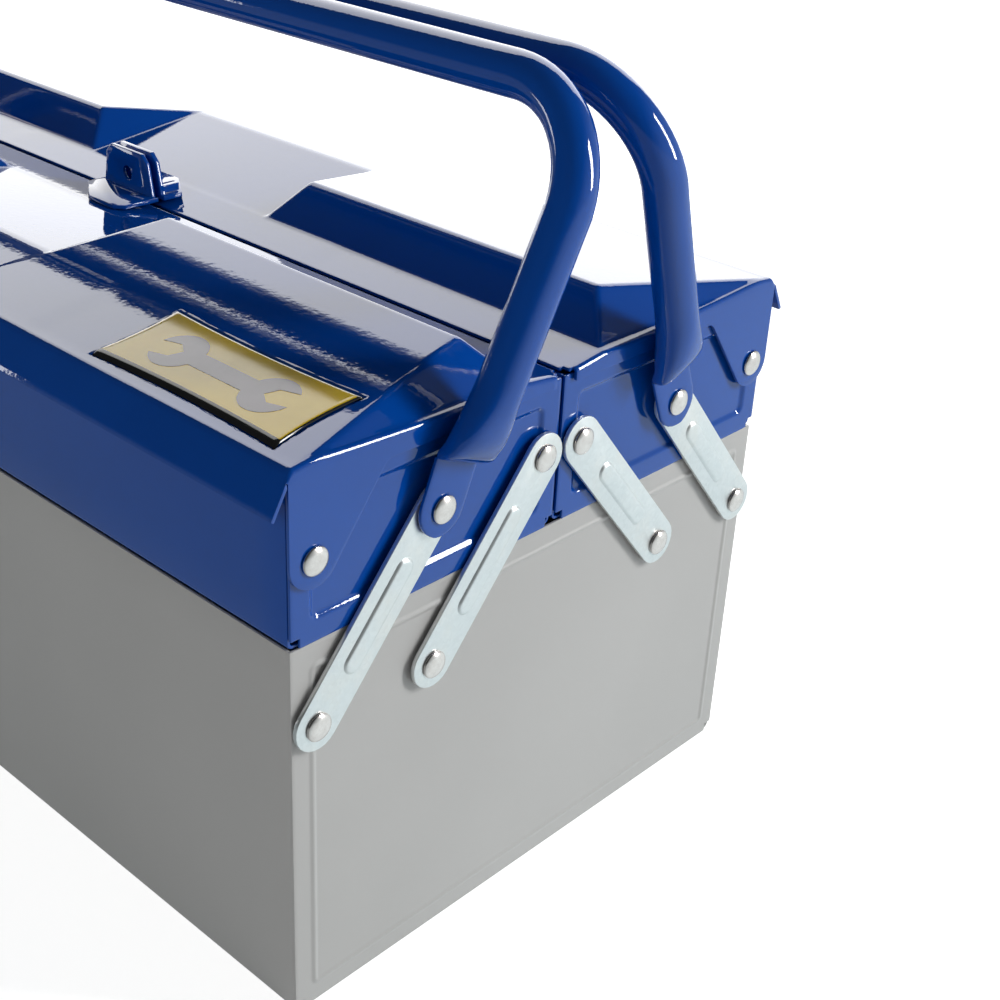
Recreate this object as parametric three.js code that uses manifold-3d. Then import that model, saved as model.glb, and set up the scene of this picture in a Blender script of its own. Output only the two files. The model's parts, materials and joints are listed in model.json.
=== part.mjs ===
// A cantilever toolbox: a sheet-steel base, two half-width trays that swing out on parallel links,
// a pressed lid on each tray and a tubular handle on each tray.
// Millimetres. X runs along the box, +Y to the rear and +Z up; the origin is under the middle of the base.
import * as THREE from "three";
import { ConvexGeometry } from "three/addons/geometries/ConvexGeometry.js";
import { mergeVertices } from "three/addons/utils/BufferGeometryUtils.js";
import Module from "manifold-3d";

const wasm = await Module();
wasm.setup();

// ---- Driving dimensions ----
const BODY_LENGTH = 400;
const BODY_WIDTH = 200;
const BASE_HEIGHT = 124.3;
const TRAY_TOP = 171.3;
const SHEET = 1;
const GAP = 0.3;
const SEAM_HALF_GAP = 0.7; // from the middle plane to each tray

// Pressed panels in the end walls.
const PRESS_DEPTH = 0.6;
const BASE_PANEL_MARGIN = 8.5;
const TRAY_PANEL_MARGIN = 6.5;
const CORNER_NOTCH = 3;

// Pivots, as distances from the middle plane and heights.
const OUTER_PIVOT = 93;
const PIVOT_PITCH = 42.4;
const BASE_PIVOT_HEIGHT = 99.6;
const TRAY_PIVOT_HEIGHT = 149.6;

const LINK_WIDTH = 15;
const LINK_THICKNESS = 1.5;
const LINK_STANDOFF = 0.6;
const RIB = { length: 34, width: 6, height: 0.7 };

const RIVET = { shank: 2, head: 4.2, headHeight: 2.2, tail: 3.6, tailHeight: 1.3, sides: 10 };
const HOLE_RADIUS = RIVET.shank + GAP;

// Lid section: distance from the middle plane, height.
const LID_SEAM = { y: 1.2, z: 172.8 };
const LID_FOOT = { y: 17, z: 174.8 };
const LID_RIDGE = { y: 29, z: 187.4 };
const LID_EDGE = { y: 100.2, z: 176.6 };
const LID_SKIRT = { y: 106.5, z: 165.2 };
const RAMP_TOP_Y = 67;
const RAMP_HALF_WIDTH = 50;
const RAMP_FACET_RUN = 10; // how far a hump's facets lean in at the ridge, beside the ramp
const END_FACET_RUN = 12; // and at the lid's end
const FOOT_INSET = 3;
const LIP_DEPTH = 5;
const EAR_RADIUS = 8;
const EAR_INNER_Y = 62;

const HANDLE = {
  tubeRadius: 6.5,
  reach: 112, // pivot to bar
  lean: 21.9, // degrees, towards the middle
  bendRadius: 28.5,
  footOffset: 9.4, // tube axis outside the end walls, low down
  topOffset: 13.6, // and where the bend starts
  plateWidth: 16.5,
  plateThickness: 1.6,
  plateTop: 15,
  taperTop: 32,
};

const HASP = { baseHalf: 14, topHalf: 11.7, thickness: 1.5, top: 190.4 };
const HASP_CORNER = 3;
const HASP_FLANGE = { half: 15.5, depth: 16.5, taperX: 14, taperY: 9 }; // one free corner is cut back
const HASP_HOLE = { radius: 2.5, z: 182 };
const HASP_LUG = { length: 6.5, height: 2.6, z: 176.9 };
const HASP_HALF_GAP = 1.2;

const BADGE = { x: 152, y: 81, length: 71, width: 24.5, thickness: 1.2 };

// ---- Derived stations along X, from the right end wall outwards ----
const FACE = BODY_LENGTH / 2;
const WALL = BODY_WIDTH / 2;
const TROUGH_HALF = FACE - SHEET - GAP;
const TRAY_BOTTOM = BASE_HEIGHT + GAP;
const EAR_X = FACE + GAP;
const LID_HALF = EAR_X + SHEET;
const LINK_X = FACE + LINK_STANDOFF;
const PLATE_X = LINK_X + LINK_THICKNESS + GAP;
const INNER_PIVOT = OUTER_PIVOT - PIVOT_PITCH;
const SEAM_PIVOT = INNER_PIVOT - PIVOT_PITCH;
const LINK_RISE = TRAY_PIVOT_HEIGHT - BASE_PIVOT_HEIGHT;
const LINK_LENGTH = Math.hypot(PIVOT_PITCH, LINK_RISE);
const LINK_LEAN = Math.atan2(PIVOT_PITCH, LINK_RISE);

// ---- Materials ----
const steel = (color, roughness, metalness) =>
  new THREE.MeshStandardMaterial({ color, roughness, metalness });
const blueEnamel = steel(0x0a3a9c, 0.18, 0);
const greyEnamel = steel(0x9b9c9a, 0.4, 0);
const zincPlate = steel(0xd3dcdc, 0.35, 0.8);
const rivetSteel = steel(0xc4bcb0, 0.3, 1);
const badgeYellow = steel(0xe3c84e, 0.25, 0);

// ---- Solids ----
function toSolid(geometry) {
  const plain = geometry.clone();
  plain.deleteAttribute("normal");
  plain.deleteAttribute("uv");
  const merged = mergeVertices(plain, 1e-4);
  const vertProperties = merged.attributes.position.array;
  const triVerts = new Uint32Array(merged.index.array);
  return new wasm.Manifold(new wasm.Mesh({ numProp: 3, vertProperties, triVerts }));
}

function toGeometry(solid) {
  const mesh = solid.getMesh();
  const geometry = new THREE.BufferGeometry();
  geometry.setAttribute("position", new THREE.BufferAttribute(Float32Array.from(mesh.vertProperties), 3));
  geometry.setIndex(new THREE.BufferAttribute(Uint32Array.from(mesh.triVerts), 1));
  const flat = geometry.toNonIndexed();
  flat.computeVertexNormals();
  return flat;
}

const union = (...geometries) => toGeometry(geometries.map(toSolid).reduce((a, b) => a.add(b)));
const cut = (body, ...tools) => toGeometry(tools.map(toSolid).reduce((a, b) => a.subtract(b), toSolid(body)));

// A shape drawn with (y, z) as its coordinates, extruded along X from one station to another.
function prismAlongX(shape, fromX, toX, curveSegments = 4) {
  const options = { depth: toX - fromX, bevelEnabled: false, curveSegments };
  const geometry = new THREE.ExtrudeGeometry(shape, options);
  const [xAxis, yAxis, zAxis] = [0, 1, 2].map((i) => new THREE.Vector3().setComponent(i, 1));
  geometry.applyMatrix4(new THREE.Matrix4().makeBasis(yAxis, zAxis, xAxis));
  return geometry.translate(fromX, 0, 0);
}

// The same for a shape drawn with (x, z), extruded along Y.
function prismAlongY(shape, fromY, toY) {
  const geometry = new THREE.ExtrudeGeometry(shape, { depth: toY - fromY, bevelEnabled: false });
  return geometry.rotateX(Math.PI / 2).translate(0, toY, 0);
}

const outline = (...points) => new THREE.Shape(points.map(([u, v]) => new THREE.Vector2(u, v)));
const box = (low, high) => {
  const size = high.map((value, i) => value - low[i]);
  return new THREE.BoxGeometry(...size).translate(...low.map((value, i) => value + size[i] / 2));
};
const hull = (points) => new ConvexGeometry(points.map((point) => new THREE.Vector3(...point)));
const rivetHole = (y, z) =>
  new THREE.CylinderGeometry(HOLE_RADIUS, HOLE_RADIUS, 4 * FACE, RIVET.sides)
    .rotateZ(Math.PI / 2)
    .translate(0, y, z);

function stadium(width, length) {
  const radius = width / 2;
  const shape = new THREE.Shape();
  shape.absarc(0, 0, radius, Math.PI, 2 * Math.PI);
  shape.absarc(0, length, radius, 0, Math.PI);
  return shape;
}

const root = new THREE.Group();

function addPiece(parent, name, geometry, material) {
  const mesh = new THREE.Mesh(geometry, material);
  mesh.name = name;
  parent.add(mesh);
  return mesh;
}

// The rear half is the front half turned half a turn about Z, and so is the left end from the right end.
const halfTurn = new THREE.Group();
halfTurn.rotation.z = Math.PI;
root.add(halfTurn);
const SIDES = [
  { side: "front", group: root },
  { side: "rear", group: halfTurn },
];
const ENDS = [
  { end: "right", group: root, frontSign: -1 },
  { end: "left", group: halfTurn, frontSign: 1 },
];

// ---- Base and trays ----
// A U of bent sheet along X: outer faces at two distances along Y, open at the top.
function trough(fromY, toY, bottom, top) {
  const section = outline(
    [fromY, bottom],
    [toY, bottom],
    [toY, top],
    [toY - SHEET, top],
    [toY - SHEET, bottom + SHEET],
    [fromY + SHEET, bottom + SHEET],
    [fromY + SHEET, top],
    [fromY, top],
  );
  return prismAlongX(section, -TROUGH_HALF, TROUGH_HALF);
}

// The end wall at the right: a sheet with notched corners and a field pressed in, drilled for its rivets.
function endWall(fromY, toY, bottom, top, margin, pivots) {
  const notch = CORNER_NOTCH;
  const sheet = outline(
    [fromY + notch, bottom],
    [toY - notch, bottom],
    [toY - notch, bottom + notch],
    [toY, bottom + notch],
    [toY, top],
    [fromY, top],
    [fromY, bottom + notch],
    [fromY + notch, bottom + notch],
  );
  const field = (inset) => [
    [fromY + margin + inset, bottom + margin + inset],
    [toY - margin - inset, top - margin - inset],
  ];
  const [outerLow, outerHigh] = field(0);
  const [innerLow, innerHigh] = field(SHEET);
  const wall = union(
    prismAlongX(sheet, FACE - SHEET, FACE),
    box([FACE - SHEET - PRESS_DEPTH, ...outerLow], [FACE - SHEET / 2, ...outerHigh]),
  );
  const recess = box([FACE - PRESS_DEPTH, ...innerLow], [FACE + SHEET, ...innerHigh]);
  return cut(wall, recess, ...pivots.map(([y, z]) => rivetHole(y, z)));
}

function addBase() {
  addPiece(root, "base_trough", trough(-WALL, WALL, 0, BASE_HEIGHT), greyEnamel);
  const pivots = [OUTER_PIVOT, INNER_PIVOT, -INNER_PIVOT, -OUTER_PIVOT].map((y) => [y, BASE_PIVOT_HEIGHT]);
  for (const { end, group } of ENDS) {
    const wall = endWall(-WALL, WALL, 0, BASE_HEIGHT, BASE_PANEL_MARGIN, pivots);
    addPiece(group, `base_end_${end}`, wall, greyEnamel);
  }
}

function addTray({ side, group }) {
  const shell = trough(-WALL, -SEAM_HALF_GAP, TRAY_BOTTOM, TRAY_TOP);
  addPiece(group, `${side}_tray_trough`, shell, blueEnamel);
}

function addTrayEnd(side, { end, group, frontSign }) {
  const sign = side === "front" ? frontSign : -frontSign;
  const [fromY, toY] = [sign * WALL, sign * SEAM_HALF_GAP].sort((a, b) => a - b);
  const pivots = [OUTER_PIVOT, INNER_PIVOT, SEAM_PIVOT].map((y) => [sign * y, TRAY_PIVOT_HEIGHT]);
  const wall = endWall(fromY, toY, TRAY_BOTTOM, TRAY_TOP, TRAY_PANEL_MARGIN, pivots);
  addPiece(group, `${side}_tray_end_${end}`, wall, blueEnamel);
}

// ---- Links ----
// A flat bar with round ends and a pressed rib, hung from its lower pivot and leaning towards the middle.
function linkGeometry() {
  const bar = prismAlongX(stadium(LINK_WIDTH, LINK_LENGTH), 0, LINK_THICKNESS);
  const ribRun = RIB.length - RIB.width;
  const ribStart = (LINK_LENGTH - ribRun) / 2;
  const rib = prismAlongX(stadium(RIB.width, ribRun), LINK_THICKNESS / 2, LINK_THICKNESS + RIB.height);
  const groove = prismAlongX(stadium(RIB.width - SHEET, ribRun), -SHEET, RIB.height);
  const pressed = cut(union(bar, rib.translate(0, 0, ribStart)), groove.translate(0, 0, ribStart));
  return cut(pressed, rivetHole(0, 0), rivetHole(0, LINK_LENGTH));
}

function addLinks(side, { end, group, frontSign }) {
  const sign = side === "front" ? frontSign : -frontSign;
  for (const [place, pivotY] of [["outer", OUTER_PIVOT], ["inner", INNER_PIVOT]]) {
    const link = addPiece(group, `${side}_${place}_link_${end}`, linkGeometry(), zincPlate);
    link.position.set(LINK_X, sign * pivotY, BASE_PIVOT_HEIGHT);
    link.rotation.x = sign * LINK_LEAN;
  }
}

// ---- Rivets ----
// A turned profile along X: formed tail, shank and domed head.
function rivetGeometry(headX) {
  const tailEnd = FACE - SHEET - PRESS_DEPTH - GAP;
  const profile = [
    [0, tailEnd - RIVET.tailHeight],
    [RIVET.tail, tailEnd - RIVET.tailHeight],
    [RIVET.tail, tailEnd],
    [RIVET.shank, tailEnd],
    [RIVET.shank, headX],
    [RIVET.head, headX],
    [RIVET.head, headX + 0.25 * RIVET.headHeight],
    [0.72 * RIVET.head, headX + 0.75 * RIVET.headHeight],
    [0, headX + RIVET.headHeight],
  ];
  const points = profile.map(([radius, x]) => new THREE.Vector2(radius, x));
  return new THREE.LatheGeometry(points, RIVET.sides).rotateZ(-Math.PI / 2);
}

function addRivet(group, name, y, z, headX) {
  const rivet = addPiece(group, name, rivetGeometry(headX), rivetSteel);
  rivet.position.set(0, y, z);
}

function addRivets(side, { end, group, frontSign }) {
  const sign = side === "front" ? frontSign : -frontSign;
  const overLink = PLATE_X;
  const overPlate = PLATE_X + HANDLE.plateThickness + GAP;
  const overEar = LID_HALF + GAP;
  const at = (name, y, z, headX) => addRivet(group, `${side}_${name}_${end}`, sign * y, z, headX);
  at("outer_link_base_rivet", OUTER_PIVOT, BASE_PIVOT_HEIGHT, overLink);
  at("inner_link_base_rivet", INNER_PIVOT, BASE_PIVOT_HEIGHT, overLink);
  at("handle_rivet", INNER_PIVOT, TRAY_PIVOT_HEIGHT, overPlate);
  at("inner_link_tray_rivet", SEAM_PIVOT, TRAY_PIVOT_HEIGHT, overLink);
  at("lid_rivet", OUTER_PIVOT, TRAY_PIVOT_HEIGHT, overEar);
}

// ---- Lids ----
const slope = (LID_RIDGE.z - LID_EDGE.z) / (LID_EDGE.y - LID_RIDGE.y);
const crownHeight = (y) => LID_EDGE.z + slope * (LID_EDGE.y - y);

// A hump from the middle ramp to one end: sloping top, steep step at the seam side, leaning end facets.
function humpHull(direction, underside) {
  const innerX = RAMP_HALF_WIDTH;
  const endFoot = LID_HALF - FOOT_INSET;
  const corners = [
    [innerX, -LID_FOOT.y, LID_FOOT.z],
    [innerX + RAMP_FACET_RUN, -LID_RIDGE.y, LID_RIDGE.z],
    [innerX, -RAMP_TOP_Y, crownHeight(RAMP_TOP_Y)],
    [innerX, -LID_EDGE.y, LID_EDGE.z],
    [LID_HALF, -LID_EDGE.y, LID_EDGE.z],
    [endFoot - END_FACET_RUN, -LID_RIDGE.y, LID_RIDGE.z],
    [endFoot, -LID_FOOT.y, LID_FOOT.z],
  ];
  const floor = [
    [innerX, -LID_FOOT.y, underside],
    [innerX, -LID_EDGE.y, underside],
    [LID_HALF, -LID_EDGE.y, underside],
    [endFoot, -LID_FOOT.y, underside],
  ];
  return hull([...corners, ...floor].map(([x, y, z]) => [direction * x, y, z]));
}

// Everything under the lid's top surface, down to a flat underside.
function lidSolid(underside) {
  const ledgeAndEdge = outline(
    [-LID_SEAM.y, underside],
    [-LID_SEAM.y, LID_SEAM.z],
    [-LID_FOOT.y, LID_FOOT.z],
    [-LID_EDGE.y, LID_EDGE.z],
    [-LID_EDGE.y, underside],
  );
  const ramp = outline(
    [-LID_FOOT.y, underside],
    [-LID_FOOT.y, LID_FOOT.z],
    [-RAMP_TOP_Y, crownHeight(RAMP_TOP_Y)],
    [-LID_EDGE.y, LID_EDGE.z],
    [-LID_EDGE.y, underside],
  );
  return union(
    prismAlongX(ledgeAndEdge, -LID_HALF, LID_HALF),
    prismAlongX(ramp, -RAMP_HALF_WIDTH, RAMP_HALF_WIDTH),
    humpHull(1, underside),
    humpHull(-1, underside),
  );
}

// The end flange at the right: a narrow lip along the edge and an ear round the lid's pivot.
function earShape() {
  const shape = new THREE.Shape();
  const lipBottom = LID_SEAM.z - SHEET - LIP_DEPTH;
  shape.moveTo(-LID_SEAM.y, LID_SEAM.z - SHEET);
  shape.lineTo(-LID_SEAM.y - LIP_DEPTH / 2, lipBottom);
  shape.lineTo(-EAR_INNER_Y, lipBottom);
  const start = 0.2 * Math.PI;
  shape.absarc(-OUTER_PIVOT, TRAY_PIVOT_HEIGHT, EAR_RADIUS, -start, -Math.PI, true);
  shape.lineTo(-OUTER_PIVOT - EAR_RADIUS + SHEET, LID_EDGE.z - SHEET);
  shape.lineTo(-LID_FOOT.y, LID_FOOT.z - SHEET / 2);
  return shape;
}

function lidGeometry() {
  const drop = 1.15 * SHEET;
  const underside = LID_SEAM.z - 2 * SHEET;
  const crown = cut(lidSolid(underside), lidSolid(underside - SHEET).translate(0, 0, -drop));
  const skirt = outline(
    [-LID_EDGE.y, LID_EDGE.z],
    [-LID_SKIRT.y, LID_SKIRT.z],
    [-LID_SKIRT.y + SHEET, LID_SKIRT.z],
    [-LID_EDGE.y + SHEET, LID_EDGE.z - SHEET / 2],
  );
  const rightEar = prismAlongX(earShape(), EAR_X, LID_HALF);
  const leftEar = prismAlongX(earShape(), -LID_HALF, -EAR_X);
  const pressed = union(crown, prismAlongX(skirt, -LID_HALF, LID_HALF), rightEar, leftEar);
  return cut(pressed, rivetHole(-OUTER_PIVOT, TRAY_PIVOT_HEIGHT));
}

// ---- Hasps ----
// A tab standing at the seam on a flange that lies on the lid's ledge.
function haspGeometry(hasLug) {
  const seamFace = -HASP_HALF_GAP;
  const lidFace = seamFace - HASP.thickness;
  const { half, depth, taperX, taperY } = HASP_FLANGE;
  const edge = seamFace - depth;
  const foot = LID_FOOT.z + GAP;
  const upright = outline(
    [-HASP.baseHalf, foot],
    [HASP.baseHalf, foot],
    [HASP.topHalf, HASP.top - HASP_CORNER],
    [HASP.topHalf - HASP_CORNER, HASP.top],
    [HASP_CORNER - HASP.topHalf, HASP.top],
    [-HASP.topHalf, HASP.top - HASP_CORNER],
  );
  const flangeOutline = [
    [-half, seamFace],
    [half, seamFace],
    [half, edge + HASP_CORNER],
    [half - HASP_CORNER, edge],
    [taperX - half, edge],
    [-half, edge + taperY],
  ];
  const flange = hull([foot, foot + HASP.thickness].flatMap((z) => flangeOutline.map(([x, y]) => [x, y, z])));
  const pieces = [prismAlongY(upright, lidFace, seamFace), flange];
  if (hasLug) {
    const inner = HASP.thickness - HASP.topHalf;
    const low = [inner - 2 * HASP.thickness, lidFace - HASP_LUG.length, HASP_LUG.z];
    const high = [inner, seamFace, HASP_LUG.z + HASP_LUG.height];
    pieces.push(box(low, high));
  }
  const hole = new THREE.CylinderGeometry(HASP_HOLE.radius, HASP_HOLE.radius, BODY_WIDTH, 12);
  return cut(union(...pieces), hole.translate(0, 0, HASP_HOLE.z));
}

// ---- Badge ----
function badgeGeometry() {
  const { length, width, thickness } = BADGE;
  const plate = new THREE.BoxGeometry(length, width, thickness).translate(0, 0, thickness / 2 + GAP);
  plate.rotateX(Math.atan(slope));
  return plate.translate(BADGE.x, -BADGE.y, crownHeight(BADGE.y));
}

function addLid({ side, group }) {
  addPiece(group, `${side}_lid`, lidGeometry(), blueEnamel);
  addPiece(group, `${side}_hasp`, haspGeometry(side === "rear"), blueEnamel);
}

// ---- Handles ----
// The tube's centre line in the handle's own plane: up one leg, round the bend, along the bar and down again.
class HandleLine extends THREE.Curve {
  constructor(start, bendStart, radius, legOffsets, bendSteps) {
    super();
    const [low, high] = legOffsets;
    const half = [new THREE.Vector3(low, 0, start), new THREE.Vector3(high, 0, bendStart)];
    for (let i = 1; i <= bendSteps; i += 1) {
      const angle = (i / bendSteps) * (Math.PI / 2);
      const x = high - radius * (1 - Math.cos(angle));
      half.push(new THREE.Vector3(x, 0, bendStart + radius * Math.sin(angle)));
    }
    const mirrored = half.map(({ x, z }) => new THREE.Vector3(-x, 0, z)).reverse();
    this.stations = [...half, ...mirrored];
  }

  getPoint(t, target = new THREE.Vector3()) {
    const place = t * (this.stations.length - 1);
    const index = Math.min(Math.floor(place), this.stations.length - 2);
    return target.lerpVectors(this.stations[index], this.stations[index + 1], place - index);
  }

  getTangent(t, target = new THREE.Vector3()) {
    const place = Math.round(t * (this.stations.length - 1));
    const before = this.stations[Math.max(place - 1, 0)];
    const after = this.stations[Math.min(place + 1, this.stations.length - 1)];
    return target.subVectors(after, before).normalize();
  }

  // One step per station, however far apart the stations are.
  getUtoTmapping(u) {
    return u;
  }
}

function handleTube() {
  const { tubeRadius, reach, bendRadius, footOffset, topOffset, taperTop } = HANDLE;
  const bendStart = reach - bendRadius;
  const line = new HandleLine(taperTop - 2, bendStart, bendRadius, [FACE + footOffset, FACE + topOffset], 6);
  const section = new THREE.Shape().absarc(0, 0, tubeRadius, 0, 2 * Math.PI);
  const steps = line.stations.length - 1;
  const options = { steps, extrudePath: line, bevelEnabled: false, curveSegments: 6 };
  return new THREE.ExtrudeGeometry(section, options);
}

// The tube's end pressed flat: a round-ended plate, and a taper from it to the full tube.
function handleFoot(direction) {
  const { tubeRadius, footOffset, plateWidth, plateThickness, plateTop, taperTop } = HANDLE;
  const plate = prismAlongX(stadium(plateWidth, plateTop), PLATE_X, PLATE_X + plateThickness);
  const flat = [-1, 1].flatMap((sign) => [
    [PLATE_X, (sign * plateWidth) / 2, plateTop],
    [PLATE_X + plateThickness, (sign * plateWidth) / 2, plateTop],
  ]);
  const ring = Array.from({ length: 12 }, (_, i) => {
    const angle = (i * Math.PI) / 6;
    const x = FACE + footOffset + tubeRadius * Math.cos(angle);
    return [x, tubeRadius * Math.sin(angle), taperTop];
  });
  const foot = union(plate, hull([...flat, ...ring]));
  return direction > 0 ? foot : foot.rotateZ(Math.PI);
}

function addHandle({ side, group }) {
  const whole = union(handleTube(), handleFoot(1), handleFoot(-1));
  const handle = addPiece(group, `${side}_handle`, cut(whole, rivetHole(0, 0)), blueEnamel);
  handle.position.set(0, -INNER_PIVOT, TRAY_PIVOT_HEIGHT);
  handle.rotation.x = -THREE.MathUtils.degToRad(HANDLE.lean);
}

// ---- Assembly ----
addBase();
for (const half of SIDES) {
  addTray(half);
  addLid(half);
  addHandle(half);
  for (const end of ENDS) {
    addTrayEnd(half.side, end);
    addLinks(half.side, end);
    addRivets(half.side, end);
  }
}
addPiece(root, "badge_plate", badgeGeometry(), badgeYellow);

export default root;
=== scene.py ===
"""A closed cantilever toolbox in blue and grey enamel: pressed lids, tubular handles and zinc-plated links.

Shapes are built in millimetres in the row frame, +X along the box, +Y to the rear and +Z up, and turned
into metres when a piece is made. The front half is modelled, and the rear half is its half turn about Z.
"""
import json
import math

import bmesh
import bpy
import numpy as np
from mathutils import Matrix, Vector


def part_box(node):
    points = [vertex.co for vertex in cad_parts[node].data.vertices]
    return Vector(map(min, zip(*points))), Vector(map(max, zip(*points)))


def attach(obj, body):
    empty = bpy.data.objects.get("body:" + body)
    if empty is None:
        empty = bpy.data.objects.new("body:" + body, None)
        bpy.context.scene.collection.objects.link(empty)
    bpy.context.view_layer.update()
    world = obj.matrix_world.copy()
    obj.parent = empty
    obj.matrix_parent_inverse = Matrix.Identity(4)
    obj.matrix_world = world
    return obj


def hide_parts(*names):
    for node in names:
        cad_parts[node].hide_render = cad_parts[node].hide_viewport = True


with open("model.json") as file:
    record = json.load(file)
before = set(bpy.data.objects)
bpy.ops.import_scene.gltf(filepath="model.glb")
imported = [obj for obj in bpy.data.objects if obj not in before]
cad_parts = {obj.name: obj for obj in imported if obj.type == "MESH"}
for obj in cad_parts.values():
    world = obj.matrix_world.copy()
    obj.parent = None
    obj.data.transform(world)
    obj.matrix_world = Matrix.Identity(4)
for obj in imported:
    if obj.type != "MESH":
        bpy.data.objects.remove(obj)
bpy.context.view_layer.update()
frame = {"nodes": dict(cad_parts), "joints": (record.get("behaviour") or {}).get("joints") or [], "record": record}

MM = 0.001
HALF_TURN = Matrix.Rotation(math.pi, 4, "Z")
MIRROR_X = Matrix.Scale(-1, 4, (1, 0, 0))
MIRROR_Y = Matrix.Scale(-1, 4, (0, 1, 0))

# ---- Sizes, from the frame ----


def box_mm(node):
    low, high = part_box(node)
    return low / MM, high / MM


def pivot_mm(joint_name):
    joint = next(j for j in frame["joints"] if j["name"] == joint_name)
    return Vector(joint["pos_m"]) / MM


# Each front right piece's copies: their side, their end and the matrix that carries it there.
OTHER_CORNERS = (
    ("front", "left", MIRROR_X),
    ("rear", "right", MIRROR_Y),
    ("rear", "left", HALF_TURN),
)

SHEET = 1.0
CORNER_NOTCH = 3.0
BASE_LOW, BASE_HIGH = box_mm("base_end_right")
TRAY_LOW, TRAY_HIGH = box_mm("front_tray_end_right")
LID_LOW, LID_HIGH = box_mm("front_lid")
FACE = BASE_HIGH.x
OUTER_BASE = pivot_mm("front_outer_link_swing")
INNER_BASE = pivot_mm("front_inner_link_swing")
MIDDLE_TRAY = pivot_mm("front_tray_level")
LID_PIVOT = pivot_mm("front_lid_swing")

# Lid section: distance from the middle plane, and height.
SEAM = (-LID_HIGH.y, 172.8)
FOOT = (17.0, 174.8)
RIDGE = (29.0, LID_HIGH.z)
EDGE = (100.2, 176.6)
SKIRT = (-LID_LOW.y, 165.2)
RAMP_TOP = 67.0
RAMP_HALF = 50.0

# How far the humps' facets lean in at the ridge, beside the ramp and at the lid's ends.
RAMP_FACET_RUN = 10.0
END_FACET_RUN = 12.0
FOOT_INSET = 3.0

# End flange: a lip along the edge, an ear round the pivot and a notch at the seam.
LIP_BOTTOM = SEAM[1] - SHEET - 2.4
EAR_RADIUS = 8.0
EAR_INNER = 68.4
LID_BEND = 1.6
CORNER_GAP = 3.0

BADGE = {"x": 152.0, "y": 81.0, "length": 71.0, "width": 24.5}
BADGE_TOP = 0.62
# How far the badge plate's sides curve in at their middles, along and across it.
PINCH = (1.2, 1.3)


# ---- Mesh helpers ----


def new_object(name, vertices, faces, smooth_angle=None):
    """A mesh object in metres from vertices in millimetres."""
    mesh = bpy.data.meshes.new(name)
    mesh.from_pydata([tuple(c * MM for c in v) for v in vertices], [], faces)
    mesh.validate()
    obj = bpy.data.objects.new(name, mesh)
    bpy.context.scene.collection.objects.link(obj)
    if smooth_angle is not None:
        shade(obj, smooth_angle)
    return obj


def shade(obj, degrees):
    obj.data.shade_smooth()
    obj.data.set_sharp_from_angle(angle=math.radians(degrees))


def face_outwards(obj):
    shape = bmesh.new()
    shape.from_mesh(obj.data)
    bmesh.ops.recalc_face_normals(shape, faces=shape.faces)
    shape.to_mesh(obj.data)
    shape.free()


def bake_modifiers(obj, degrees):
    """Replaces obj's mesh by its evaluated one, with no modifiers left."""
    evaluated = obj.evaluated_get(bpy.context.evaluated_depsgraph_get())
    mesh = bpy.data.meshes.new_from_object(evaluated)
    obj.modifiers.clear()
    obj.data = mesh
    shade(obj, degrees)
    return obj


def add_modifier(obj, kind, **settings):
    modifier = obj.modifiers.new(kind.lower(), kind)
    for key, value in settings.items():
        setattr(modifier, key, value)
    return modifier


def thicken(obj, thickness=SHEET, edge=0.28, degrees=40):
    """Turns an open sheet into a solid one with softened cut edges."""
    add_modifier(obj, "SOLIDIFY", thickness=thickness * MM, offset=-1, use_quality_normals=True)
    add_modifier(obj, "BEVEL", width=edge * MM, segments=2, limit_method="ANGLE",
                 angle_limit=math.radians(50), harden_normals=False)
    return bake_modifiers(obj, degrees)


def sheet_faces(rows, columns, keep=None):
    faces = []
    for i in range(rows - 1):
        for j in range(columns - 1):
            if keep is None or keep(i, j):
                a = i * columns + j
                faces.append((a, a + columns, a + columns + 1, a + 1))
    return faces


def sheet_object(name, points, keep=None, flip=False):
    """An open sheet from a grid of points, rows by columns by 3."""
    points = np.asarray(points, float)
    rows, columns = points.shape[:2]
    faces = sheet_faces(rows, columns, keep)
    if flip:
        faces = [tuple(reversed(f)) for f in faces]
    used = sorted({v for f in faces for v in f})
    renumber = {v: i for i, v in enumerate(used)}
    flat = points.reshape(-1, 3)
    return new_object(name, [flat[v] for v in used], [tuple(renumber[v] for v in f) for f in faces])


def loft_object(name, rings, degrees=40):
    """A closed solid through rings of the same number of points, capped at both ends."""
    rings = [np.asarray(r, float) for r in rings]
    count = len(rings[0])
    vertices = np.concatenate(rings)
    faces = []
    for i in range(len(rings) - 1):
        for j in range(count):
            a, b = i * count + j, i * count + (j + 1) % count
            faces.append((a, b, b + count, a + count))
    faces.append(tuple(reversed(range(count))))
    last = (len(rings) - 1) * count
    faces.append(tuple(range(last, last + count)))
    obj = new_object(name, vertices, faces)
    face_outwards(obj)
    shade(obj, degrees)
    return obj


def spaced(*runs):
    """Stations along a line: runs of (start, end, step), joined where they meet."""
    stations = []
    for start, end, step in runs:
        count = max(1, round((end - start) / step))
        stations += list(np.linspace(start, end, count + 1))
    return sorted(set(round(s, 4) for s in stations))


def smooth_min(a, b, k):
    h = np.maximum(k - np.abs(a - b), 0) / k
    return np.minimum(a, b) - h * h * k / 4


def smooth_max(a, b, k):
    return -smooth_min(-a, -b, k)


def smooth_step(t):
    t = np.clip(t, 0, 1)
    return t * t * (3 - 2 * t)


def copy_of(source, name, matrix):
    """A separate piece with the same shape, moved by a matrix in metres."""
    obj = bpy.data.objects.new(name, source.data.copy())
    bpy.context.scene.collection.objects.link(obj)
    obj.data.transform(matrix)
    if matrix.determinant() < 0:
        obj.data.flip_normals()
    return obj


def finish_piece(obj, node, body, material):
    obj.data.materials.clear()
    obj.data.materials.append(material)
    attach(obj, body)
    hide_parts(node)
    return obj


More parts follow.
